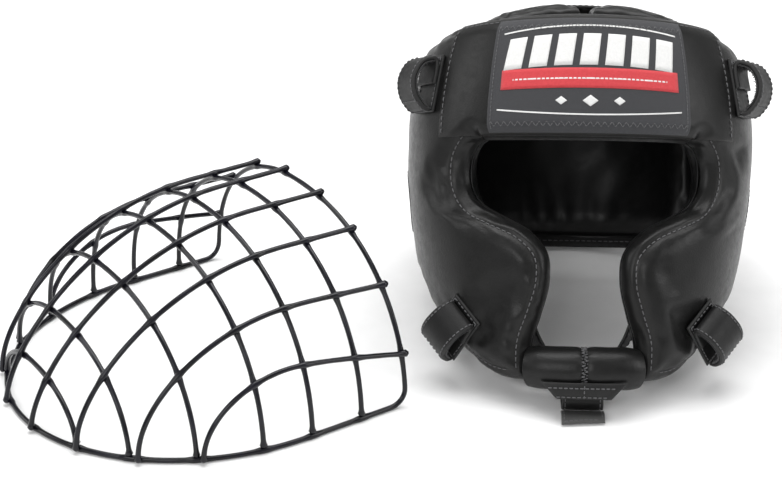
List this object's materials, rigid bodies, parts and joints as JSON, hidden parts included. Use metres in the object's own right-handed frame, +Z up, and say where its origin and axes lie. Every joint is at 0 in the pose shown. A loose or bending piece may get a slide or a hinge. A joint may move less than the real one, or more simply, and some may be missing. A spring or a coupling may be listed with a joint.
{
  "type": "boxing headgear",
  "caption": "Black leather boxing headgear with padded brow, cheeks, chin roll and neck pad, lying back beside its detachable coated wire face cage.",
  "frame": {"origin": "centre of the bounding box on the table the headgear and its cage lie on", "axes": "+Z up from the table, +X from the cage to the headgear, -Y the way the wearer would face; the wearer's head axis leans back 27 degrees from +Z towards +Y"},
  "size_m": [0.5138, 0.3673, 0.2333],
  "materials": {
    "leather": "satin",
    "lining": "satin",
    "strap_leather": "satin",
    "foam": "matte",
    "hook_and_loop": "matte",
    "woven_label": "matte",
    "coated_wire": "gloss"
  },
  "bodies": {
    "headgear": {"brow_cover": "leather", "brow_foam": "foam", "brow_lining": "lining", "forehead_overlay": "leather", "label_patch": "woven_label", "side_cover_left": "leather", "side_foam_left": "foam", "side_lining_left": "lining", "ear_sleeve_left": "leather", "side_cover_right": "leather", "side_foam_right": "foam", "side_lining_right": "lining", "ear_sleeve_right": "leather", "chin_roll_left": "leather", "chin_roll_right": "leather", "chin_core_left": "foam", "chin_core_right": "foam", "chin_flap": "strap_leather", "chin_strap_left": "strap_leather", "chin_strap_right": "strap_leather", "chin_strap_fold": "strap_leather", "back_cover": "leather", "back_foam": "foam", "back_lining": "lining", "back_binding": "strap_leather", "back_pile_field": "hook_and_loop", "gusset_left": "leather", "gusset_right": "leather", "crown_cover_left": "leather", "crown_foam_left": "foam", "crown_lining_left": "lining", "crown_cover_right": "leather", "crown_foam_right": "foam", "crown_lining_right": "lining", "crown_pile_tapes": "hook_and_loop", "crown_strap_bases": "strap_leather", "flap_base_left": "strap_leather", "flap_base_right": "strap_leather", "loop_base_upper_left": "strap_leather", "loop_base_upper_right": "strap_leather", "loop_base_lower_left": "strap_leather", "loop_base_lower_right": "strap_leather"},
    "cage": {"cage_rim": "coated_wire", "cage_long_wires": "coated_wire", "cage_cross_wires": "coated_wire"},
    "chin_tab": {"chin_tab": "strap_leather"},
    "rear_flap_left": {"rear_flap_left": "strap_leather", "rear_hook_left": "hook_and_loop"},
    "rear_flap_right": {"rear_flap_right": "strap_leather", "rear_hook_right": "hook_and_loop"},
    "crown_strap_front": {"crown_strap_front": "strap_leather", "crown_hook_front": "hook_and_loop"},
    "crown_strap_rear": {"crown_strap_rear": "strap_leather", "crown_hook_rear": "hook_and_loop"},
    "loop_upper_left": {"loop_upper_left": "strap_leather"},
    "loop_upper_right": {"loop_upper_right": "strap_leather"},
    "loop_lower_left": {"loop_lower_left": "strap_leather"},
    "loop_lower_right": {"loop_lower_right": "strap_leather"}
  },
  "joints": [
    {"name": "cage_lift", "type": "slide", "parent": "headgear", "child": "cage", "axis": [0, 0, 1], "range_m": [0, 0.24]},
    {"name": "rear_flap_left_hinge", "type": "hinge", "parent": "headgear", "child": "rear_flap_left", "pos_m": [0.24799, 0.08521, 0.09552], "axis": [0, -0.454, -0.891], "range_deg": [0, 75]},
    {"name": "rear_flap_right_hinge", "type": "hinge", "parent": "headgear", "child": "rear_flap_right", "pos_m": [0.01501, 0.08521, 0.09552], "axis": [0, 0.454, 0.891], "range_deg": [0, 75]},
    {"name": "crown_strap_front_hinge", "type": "hinge", "parent": "headgear", "child": "crown_strap_front", "pos_m": [0.08645, 0.10505, 0.19071], "axis": [-0.0009, -0.7924, 0.61], "range_deg": [0, 100]},
    {"name": "crown_strap_rear_hinge", "type": "hinge", "parent": "headgear", "child": "crown_strap_rear", "pos_m": [0.0865, 0.13606, 0.16158], "axis": [-0.0015, -0.662, 0.7495], "range_deg": [0, 100]},
    {"name": "loop_upper_left_hinge", "type": "hinge", "parent": "headgear", "child": "loop_upper_left", "pos_m": [0.23983, 0.00674, 0.16125], "axis": [0.4421, 0.7992, -0.4072], "range_deg": [0, 90]},
    {"name": "loop_upper_right_hinge", "type": "hinge", "parent": "headgear", "child": "loop_upper_right", "pos_m": [0.02317, 0.00674, 0.16125], "axis": [0.4421, -0.7992, 0.4072], "range_deg": [0, 90]},
    {"name": "loop_lower_left_hinge", "type": "hinge", "parent": "headgear", "child": "loop_lower_left", "pos_m": [0.22429, -0.06711, 0.02318], "axis": [0.5943, 0.6404, 0.4865], "range_deg": [0, 90]},
    {"name": "loop_lower_right_hinge", "type": "hinge", "parent": "headgear", "child": "loop_lower_right", "pos_m": [0.03871, -0.06711, 0.02318], "axis": [0.5943, -0.6404, -0.4865], "range_deg": [0, 90]},
    {"name": "chin_tab_hinge", "type": "hinge", "parent": "headgear", "child": "chin_tab", "pos_m": [0.1315, -0.11315, 0.0019], "axis": [-1, 0, 0], "range_deg": [0, 40]}
  ]
}
